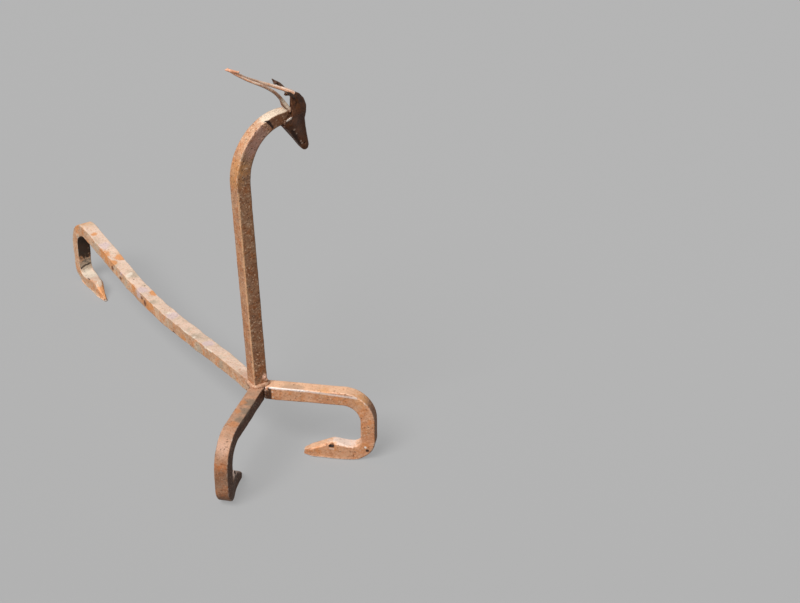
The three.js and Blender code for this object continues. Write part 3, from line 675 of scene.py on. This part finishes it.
# %% log bar finish
ORANGE_PATCHES = [(0.009, (-0.0205, 0.228, 0.091)), (0.007, (-0.0199, 0.198, 0.0875)),
                  (0.007, (-0.0195, 0.213, 0.086)), (0.008, (-0.0186, 0.126, 0.0785)),
                  (0.008, (-0.0175, 0.069, 0.074)), (0.007, (-0.018, 0.191, 0.0918)),
                  (0.010, (-0.0015, 0.200, 0.094)), (0.008, (0.0008, 0.093, 0.0816)),
                  (0.010, (-0.016, -0.030, 0.066)), (0.016, (-0.0126, 0.318, 0.100)),
                  (0.015, (-0.0121, 0.2485, 0.0130)), (0.005, (-0.0125, 0.270, 0.1035)),
                  (0.011, (-0.0195, 0.218, 0.0900)), (0.010, (-0.0185, 0.080, 0.0700))]
LILAC_PATCHES = [(0.010, (-0.0102, 0.236, 0.0982)), (0.007, (-0.019, 0.110, 0.076)),
                 (0.010, (-0.010, 0.108, 0.083)), (0.011, (-0.006, 0.020, 0.082)),
                 (0.010, (-0.006, -0.090, 0.092)), (0.006, (-0.020, 0.165, 0.084))]
GREY_PATCHES = [(0.010, (-0.004, 0.150, 0.086)), (0.012, (-0.008, -0.060, 0.088)),
                (0.010, (-0.017, -0.080, 0.075)), (0.008, (-0.012, 0.070, 0.081)),
                (0.010, (-0.017, -0.140, 0.083))]
CHIPS = [(0.0036, (-0.0199, 0.1945, 0.0795)), (0.0048, (-0.0178, 0.090, 0.0690)),
         (0.0030, (-0.0180, 0.100, 0.0735)), (0.0032, (-0.0195, 0.170, 0.0745)),
         (0.0014, (-0.0090, 0.140, 0.0850)), (0.0018, (-0.0020, 0.118, 0.0838)),
         (0.0036, (-0.0165, 0.000, 0.0640)), (0.0022, (-0.0160, 0.248, 0.0960))]
CREAM = [(0.004, (-0.006, 0.156, 0.0865), (-0.013, 0.151, 0.0865)),
         (0.003, (-0.0174, 0.062, 0.0800)), (0.0042, (-0.0067, 0.029, 0.0819)),
         (0.003, (-0.0160, -0.024, 0.0855), (-0.0155, -0.046, 0.0870)),
         (0.003, (-0.0150, -0.096, 0.0900), (-0.0142, -0.114, 0.0923)),
         (0.0036, (-0.0120, -0.060, 0.0880))]
CRACKS = [(0.0016, (-0.0180, 0.3193, 0.0226), (-0.0110, 0.3195, 0.0256)),
          (0.0014, (-0.0110, 0.3195, 0.0256), (-0.0020, 0.3197, 0.0265)),
          (0.0016, (-0.0195, 0.2975, 0.0180), (-0.0195, 0.2895, 0.0180))]
log_bar_iron = rusted_iron(
    "log_bar_iron", ("#4f3425", "#d6a27a", "#ebc09c", "#e48f50", "#f4d9c6", "#fdf2e6"), 11.0,
    # painted shade on the undersides
    stain="#d6bfa4", stained=0.75, ash=0.85, speckle=0.9, painted_shade_sides=[((0, 0.2, -1), 0.6)],
    dabs=[dab("#b9aa94", 0.6, 0.6, *GREY_PATCHES), dab("#e99c5e", 0.85, 0.35, *ORANGE_PATCHES),
          dab("#e4cccc", 0.7, 0.4, *LILAC_PATCHES),
          dab("#ecdfcb", 0.7, 0.6, (0.016, (-0.0105, 0.308, 0.0175)), on=UP),
          dab("#c9bca8", 0.8, 0.7, (0.014, (-0.0105, 0.319, 0.0270)), on=(0, -1, 0)),
          # painted shade on the inner face of the rear upright, under the bar
          dab("#2b1e18", 0.95, 0.3, (0.026, (-0.0105, 0.318, 0.059), (-0.0105, 0.318, 0.085)),
              on=(0, -1, 0)),
          dab("#7c4c32", 0.9, 0.3, *CHIPS), dab("#ffefdc", 0.7, 0.6, *CREAM),
          dab("#3c2c22", 0.85, 0.3, *CRACKS),
          dab("#bf8a6c", 0.6, 1.0, (0.030, (-0.005, -0.205, 0.100))),
          dab("#f2bb8c", 0.65, 1.0, (0.026, (-0.008, 0.312, 0.104)), on=UP),
          dab("#7a4a2c", 0.8, 0.5, (0.0026, (-0.0165, 0.2420, 0.0030), (-0.0030, 0.2400, 0.0040)))])
on_log_bar = (ORANGE_PATCHES, LILAC_PATCHES, GREY_PATCHES, CHIPS, CREAM, CRACKS)
print("patches on the log bar", sum(len(patches) for patches in on_log_bar))

# %% [markdown]
# # Post, head and welds
# The post has a painted shadow of the horn on the neck, and bright rubbed edges. The head is
# toned darkest as painted shade, with painted shade along a groove of the mouth and a few bright
# nicks there. The beads take the tones of the iron round them, and those in corners get painted
# shade.

# %% finishes of the post, the head and the welds
# painted shadow that the horn casts on the near side of the neck
NECK_SHADOW = [(0.0014, (0.0195, -0.2335, 0.4672), (0.0242, -0.2353, 0.4652)),
             (0.0022, (0.0242, -0.2353, 0.4649), (0.0274, -0.2353, 0.4602)),
             (0.0017, (0.0274, -0.2353, 0.4602), (0.0300, -0.2354, 0.4560))]
post_iron = rusted_iron(
    "post_iron", ("#2c190f", "#c4875f", "#dca67e", "#d27f45", "#f6d0ae", "#ffdfbe"), 21.0,
    # painted shade on the face away from the lamp; the right face is partly its own darker pitted
    # scale and partly painted shade
    stain="#b08a74", speckle=1.3, pitted=1.6, painted_shade_sides=[((1, 0, 0), 0.5), ((0, -1, 0), 0.4)],
    dabs=[dab("#e2a266", 0.6, 0.8, (0.016, (-0.0205, -0.232, 0.412)),
              (0.014, (-0.024, -0.229, 0.395))),
          # painted light on the lit part of the neck's top near the head
          dab("#ffe9cf", 0.9, 0.6, (0.015, (0.026, -0.230, 0.470), (0.045, -0.231, 0.474)),
              on=(-0.35, 0, 0.94)),
          dab("#6e4a36", 0.6, 0.6, (0.011, (0.033, -0.2354, 0.464), (0.044, -0.2354, 0.463)),
              on=(0, -1, 0)),
          dab("#bf9486", 0.7, 0.9, (0.014, (0.014, -0.2356, 0.452), (0.0, -0.2356, 0.432)),
              on=(0, -1, 0)),
          dab("#f4bd8e", 0.75, 0.7, (0.0022, (-0.0146, -0.2408, 0.115), (-0.0188, -0.2390, 0.2467)),
              (0.0022, (-0.0188, -0.2390, 0.2467), (-0.0226, -0.2373, 0.3800))),
          dab("#2a1710", 0.95, 0.2, *NECK_SHADOW),
          dab("#f2bfa4", 0.9, 0.4, (0.0048, (0.0012, -0.2412, 0.1120)))])
# painted shade: the head's tones are dark because its sides lie in shadow
head_iron = rusted_iron(
    "head_iron", ("#170d09", "#5c3823", "#744c36", "#74441f", "#84604c", "#9a7c68"), 31.0,
    stain="#4c2f2a", stained=0.5, ash=0.25, speckle=0.5, shine=0.5, sheen=0.25,
    # painted shade in the gap between the near horn's strap and the far cheek
    dabs=[dab("#26170f", 0.6, 1.0, (0.013, (0.0680, -0.2302, 0.4870))),
          dab("#846252", 0.5, 1.0, (0.009, (0.0623, -0.2376, 0.4594), (0.0680, -0.2350, 0.4440))),
          # painted shade along a groove of the mouth
          dab("#1a0f0b", 0.75, 0.7, (0.0038, (0.0575, -0.2350, 0.4440), (0.0672, -0.2335, 0.4235))),
          dab("#bfa390", 0.85, 0.3,
              (0.0016, (0.0595, -0.2356, 0.4464)), (0.0013, (0.0629, -0.2348, 0.4402)),
              (0.0015, (0.0693, -0.2333, 0.4280)), (0.0013, (0.0713, -0.2328, 0.4244))),
          # painted highlight: a spot of light at the joint of head and neck
          dab("#fbeee0", 0.95, 0.3,
              (0.0019, (0.0478, -0.2388, 0.4622), (0.0536, -0.2386, 0.4640)))])
horn_iron = rusted_iron(
    "horn_iron", ("#341d13", "#dca684", "#f4c8a8", "#e6a070", "#ffe8d6", "#fff6ee"), 41.0,
    # painted shade on the undersides of the horns
    stained=0.15, speckle=0.45, ash=0.9, painted_shade_sides=[((-0.3, 0.1, -0.92), 0.9)],
    dabs=[dab("#f0a880", 0.8, 0.5, (0.008, (-0.024, -0.227, 0.540), (-0.012, -0.231, 0.537))),
          # painted light on the lit top of the near horn's root strap
          dab("#ffe6cc", 0.95, 0.4, (0.0030, (0.0440, -0.2360, 0.4895), (0.0525, -0.2362, 0.4772))),
          # painted shadow between the strap and the near horn
          dab("#2a1a12", 0.9, 0.4, (0.0028, (0.0475, -0.2265, 0.4790), (0.0490, -0.2290, 0.4768)))])
# painted shade: the ears are toned dark because their sides lie in shade
ear_iron = rusted_iron(
    "ear_iron", ("#1a110c", "#40291f", "#593e30", "#5c3826", "#765a4c", "#8c7466"), 51.0,
    ash=0.3, sheen=0.25)
weld_iron = rusted_iron(
    "weld_iron", ("#331d13", "#b27d5e", "#cb9a78", "#c47c4e", "#e6bc9e", "#f2d2bc"), 61.0,
    speckle=0.9)
foot_weld_iron = rusted_iron(
    "foot_weld_iron", ("#331d13", "#a06e50", "#bc8a68", "#b87044", "#cfa080", "#dcb294"), 65.0,
    speckle=1.0)
# painted shade: beads in corners and on the cheeks are toned dark
painted_shade_corner_iron = rusted_iron(
    "corner_weld_iron", ("#1d110b", "#4a3024", "#6c4c3a", "#7c4c32", "#b08e78", "#dcc0ac"), 71.0,
    speckle=1.0)
print("finishes", sorted(m.name for m in bpy.data.materials if m.name.endswith("iron")))

# %% [markdown]
# # The bars, the head and its trimmings
# Each is forged from its own node. The bars take squares of a millimetre, the small pieces finer
# ones, because their edges are thinner.

# %% bars
LEG_MARKS = {"dent_size": 0.016, "dent_depth": 0.0005, "wave_size": 0.04, "wave_depth": 0.0012}
LOG_MARKS = {"dent_size": 0.021, "dent_depth": 0.0016, "wave_size": 0.03, "wave_depth": 0.0018}
POST_MARKS = {"dent_size": 0.012, "dent_depth": 0.0004, "wave_size": 0.04, "wave_depth": 0.0008}
BAR_SQUARE = 0.001
LOG_BAR_SQUARE = 0.0011
SPATTER = [(0.0034, (0.0010, -0.2408, 0.1122)), (0.0030, (0.0035, -0.2412, 0.1085))]
forge("left_front_leg", "worn_left_leg", left_leg_iron, "forged_bar", BAR_SQUARE, rounds=4,
      seed=2.0, **LEG_MARKS)
forge("right_front_leg", "worn_right_leg", right_leg_iron, "forged_bar", BAR_SQUARE, rounds=4,
      seed=4.0, **LEG_MARKS)
forge("log_bar", "worn_log_bar", log_bar_iron, "forged_bar", LOG_BAR_SQUARE, rounds=3,
      seed=6.0, **LOG_MARKS)
forge("post", "worn_post", post_iron, "forged_bar", BAR_SQUARE, rounds=3, lumps=SPATTER,
      seed=8.0, **POST_MARKS)

# %% [markdown]
# # Head, horns and ears
# The horn's tip and the ear's end are torn and thick on the real piece, so runs of small balls are
# fused on before the skin is made even. The far cheek is shorter than the near one.

# %% head, horns and ears
PLATE_MARKS = {"dent_size": 0.009, "dent_depth": 0.0003, "wave_size": 0.02, "wave_depth": 0.0004}
FINE_MARKS = {"dent_size": 0.005, "dent_depth": 0.0001, "wave_size": 0.01, "wave_depth": 0.0002}
HEAD_SQUARE = 0.0005
HORN_SQUARE = 0.0004
EAR_SQUARE = 0.00025
BLUNT_TIP = (run(0.0025, (-0.0205, -0.2284, 0.5385), 0.0013, (-0.0250, -0.2253, 0.5396))
             + run(0.0025, (-0.0205, -0.2284, 0.5385), 0.0015, (-0.0130, -0.2325, 0.5366), 13)
             + run(0.0014, (-0.0122, -0.2335, 0.5362), 0.0009, (-0.0120, -0.2341, 0.5377), 5))
BLUNT_EAR = (run(0.0015, (0.0474, -0.2075, 0.5044), 0.0017, (0.0479, -0.2106, 0.5004))
             + run(0.0016, (0.0474, -0.2075, 0.5044), 0.0018, (0.0500, -0.2108, 0.5018))
             + run(0.0017, (0.0479, -0.2106, 0.5004), 0.0018, (0.0500, -0.2108, 0.5018)))
FAR_CHEEK = -0.2275  # the far cheek lies beyond this line
CHEEK_LOW, CHEEK_HIGH = 0.466, 0.486
CHEEK_BACK = 0.0655  # its back edge, which stops short of the near cheek's
head = forge("head", "worn_head", head_iron, "head_plate", HEAD_SQUARE, rounds=2,
             seed=10.0, **PLATE_MARKS)
for point in head.data.vertices:
    if point.co.y > FAR_CHEEK and CHEEK_LOW < point.co.z < CHEEK_HIGH:
        point.co.x = max(point.co.x, CHEEK_BACK)
for side, seed, tip, leaf in (("left", 12.0, BLUNT_TIP, BLUNT_EAR), ("right", 14.0, (), ())):
    forge(side + "_horn", "worn_" + side + "_horn", horn_iron, "forged_bar", HORN_SQUARE, rounds=2,
          lumps=tip, seed=seed, **FINE_MARKS)
    forge(side + "_ear", "worn_" + side + "_ear", ear_iron, "head_plate", EAR_SQUARE, rounds=1,
          lumps=leaf, seed=seed + 1, **FINE_MARKS)

# %% [markdown]
# # Weld beads
# A welder's bead is a row of small overlapping ripples along a seam. That repeats along a path, so
# Geometry Nodes make it: a curve gets a radius that swells once for each ripple, a round profile
# runs along it, and a little noise makes it lumpy.

# %% a tree for beads
BEAD_STEP = 0.0004  # the curve gets a point this often
BEAD_SIDES = 14
LUMPS_PER_METRE = 260.0
LUMP_DEPTH = 0.35  # share of the bead's radius

welding = bpy.data.node_groups.new("weld bead", "GeometryNodeTree")
add_input(welding, "Geometry", "NodeSocketGeometry")
bead_inputs = {
    "radius": add_input(welding, "Radius", "NodeSocketFloat", 0.003),
    "ripple": add_input(welding, "Ripple", "NodeSocketFloat", 0.003),
    "swell": add_input(welding, "Swell", "NodeSocketFloat", 0.16),
    "seed": add_input(welding, "Seed", "NodeSocketFloat", 0.0),
    "finish": add_input(welding, "Finish", "NodeSocketMaterial"),
}
welding.interface.new_socket("Geometry", in_out="OUTPUT", socket_type="NodeSocketGeometry")


def build_welding(tree):
    """A round bead along a curve, which swells at each ripple and has small lumps."""
    given = tree.nodes.new("NodeGroupInput").outputs
    fine = wire(tree, "GeometryNodeResampleCurve", {"mode": "LENGTH"},
                {"Curve": given["Geometry"], "Length": BEAD_STEP})
    along = wire(tree, "GeometryNodeSplineParameter", {}, {}).outputs
    ripples = maths(tree, "DIVIDE", along["Length"], given["Ripple"])
    crest = maths(tree, "ABSOLUTE", maths(tree, "SINE", maths(tree, "MULTIPLY", ripples, math.pi)))
    swollen = maths(tree, "ADD", maths(tree, "SUBTRACT", 1.0, given["Swell"]),
                    maths(tree, "MULTIPLY", crest, given["Swell"]))
    ring = wire(tree, "GeometryNodeCurvePrimitiveCircle", {},
                {"Resolution": BEAD_SIDES, "Radius": 1.0})
    size = maths(tree, "MULTIPLY", swollen, given["Radius"])
    tube = wire(tree, "GeometryNodeCurveToMesh", {},
                {"Curve": fine.outputs[0], "Profile Curve": ring.outputs[0],
                 "Scale": size, "Fill Caps": True})
    place = wire(tree, "GeometryNodeInputPosition", {}, {}).outputs[0]
    lump = wire(tree, "ShaderNodeTexNoise", {"noise_dimensions": "4D"},
                {"Vector": place, "W": given["Seed"], "Scale": LUMPS_PER_METRE, "Detail": 2.0})
    dip = maths(tree, "MULTIPLY", lump.outputs[0], given["Radius"])
    dip = maths(tree, "MULTIPLY", dip, -LUMP_DEPTH)
    move_and_dress(tree, tube.outputs[0], dip, given["Finish"])


build_welding(welding)
print("bead tree has", len(welding.nodes), "nodes")

# %% [markdown]
# # Laying a bead
# A bead needs only a few points along its seam. A smooth curve runs through them, and the tree
# above makes the metal.

# %% lay a bead
BEAD_WEAR = 0.0012  # a crest that stands out this far is fully worn
SMOOTHEST = 4  # order of the curve, or the number of its points where there are fewer


def weld(node, name, points, radius, finish=weld_iron, closed=False, ripple=0.003, swell=0.16,
         seed=0.0):
    """A bead along a seam, which stands for the node's plain one."""
    curve = bpy.data.curves.new(name, "CURVE")
    curve.dimensions = "3D"
    spline = curve.splines.new("NURBS")
    spline.points.add(len(points) - 1)
    for point, place in zip(spline.points, points):
        point.co = (*place, 1)
    spline.order_u = min(SMOOTHEST, len(points))
    spline.use_endpoint_u = not closed
    spline.use_cyclic_u = closed
    bead = bpy.data.objects.new(name, curve)
    scene.collection.objects.link(bead)
    modifier = bead.modifiers.new("weld bead", "NODES")
    modifier.node_group = welding
    given = {"radius": radius, "ripple": ripple, "swell": swell, "seed": seed, "finish": finish}
    for key, value in given.items():
        modifier[bead_inputs[key]] = value
    data = plain_mesh(bead)
    bpy.data.objects.remove(bead)
    piece = bpy.data.objects.new(name, data)
    scene.collection.objects.link(piece)
    hand_over(piece, node, BEAD_WEAR)


def box_of(node):
    """The low corner, the high corner and the middle of a node's box."""
    low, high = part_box(node)
    return low, high, (low + high) / 2


print("a bead's crest is worn where it stands out", 1000 * BEAD_WEAR, "mm")

# %% [markdown]
# # Where the beads lie
# Most seams are read from the box of the node that they stand for, so a bead stays in its corner;
# the horns' beads run through given points. The one round the foot of the post is a closed loop.

# %% beads
FOOT_BEAD = 0.0042  # radius of each bead
LEG_BEAD = 0.0028
BAR_BEAD = 0.0026
FINE_BEAD = 0.0017
FINE_RIPPLE = 0.002
LOOP_INSET = 0.0046  # how far the loop runs inside its node's box
LOOP_LEVEL = 0.0012
BEAD_END = 0.002  # how far short of the box each bead ends
LEG_BEAD_TOP = 0.001
CHEEK_END_X, CHEEK_END_Z = 0.0018, 0.0015

low, high, middle = box_of("post_weld")
west, east = low.x + LOOP_INSET, high.x - LOOP_INSET
south, north = low.y + LOOP_INSET, high.y - LOOP_INSET
level = low.z + LOOP_LEVEL
loop = [(east, middle.y, level), (east, north, level), (middle.x, north, level),
        (west, north, level), (west, middle.y, level), (west, south, level),
        (middle.x, south, level), (east, south, level)]
weld("post_weld", "post_foot_bead", loop, FOOT_BEAD, foot_weld_iron, closed=True,
     ripple=0.007, swell=0.06, seed=1.0)

low, high, middle = box_of("leg_weld")
front = low.y + LEG_BEAD
weld("leg_weld", "leg_corner_bead",
     [(middle.x, front, low.z + BEAD_END), (middle.x, front, middle.z),
      (middle.x, front, high.z - LEG_BEAD_TOP)],
     LEG_BEAD, painted_shade_corner_iron, seed=2.0)

for side, seed in (("left", 3.0), ("right", 4.0)):
    low, high, middle = box_of(side + "_bar_weld")
    weld(side + "_bar_weld", side + "_bar_bead",
         [(middle.x, middle.y, low.z + BEAD_END), tuple(middle),
          (middle.x, middle.y, high.z - BEAD_END)],
         BAR_BEAD, painted_shade_corner_iron, seed=seed)
    low, high, middle = box_of(side + "_cheek_weld")
    weld(side + "_cheek_weld", side + "_cheek_bead",
         [(high.x - CHEEK_END_X, middle.y, high.z - CHEEK_END_Z), tuple(middle),
          (low.x + CHEEK_END_X, middle.y, low.z + CHEEK_END_Z)],
         FINE_BEAD, painted_shade_corner_iron, ripple=FINE_RIPPLE, seed=seed + 2)

weld("left_horn_weld", "left_horn_bead",
     [(0.0572, -0.2300, 0.4912), (0.0558, -0.2256, 0.4926), (0.0568, -0.2204, 0.4916)],
     FINE_BEAD, ripple=FINE_RIPPLE, seed=7.0)
weld("right_horn_weld", "right_horn_bead",
     [(0.0507, -0.2245, 0.4755), (0.0481, -0.2253, 0.4796), (0.0459, -0.2274, 0.4862)],
     FINE_BEAD, ripple=FINE_RIPPLE, seed=8.0)
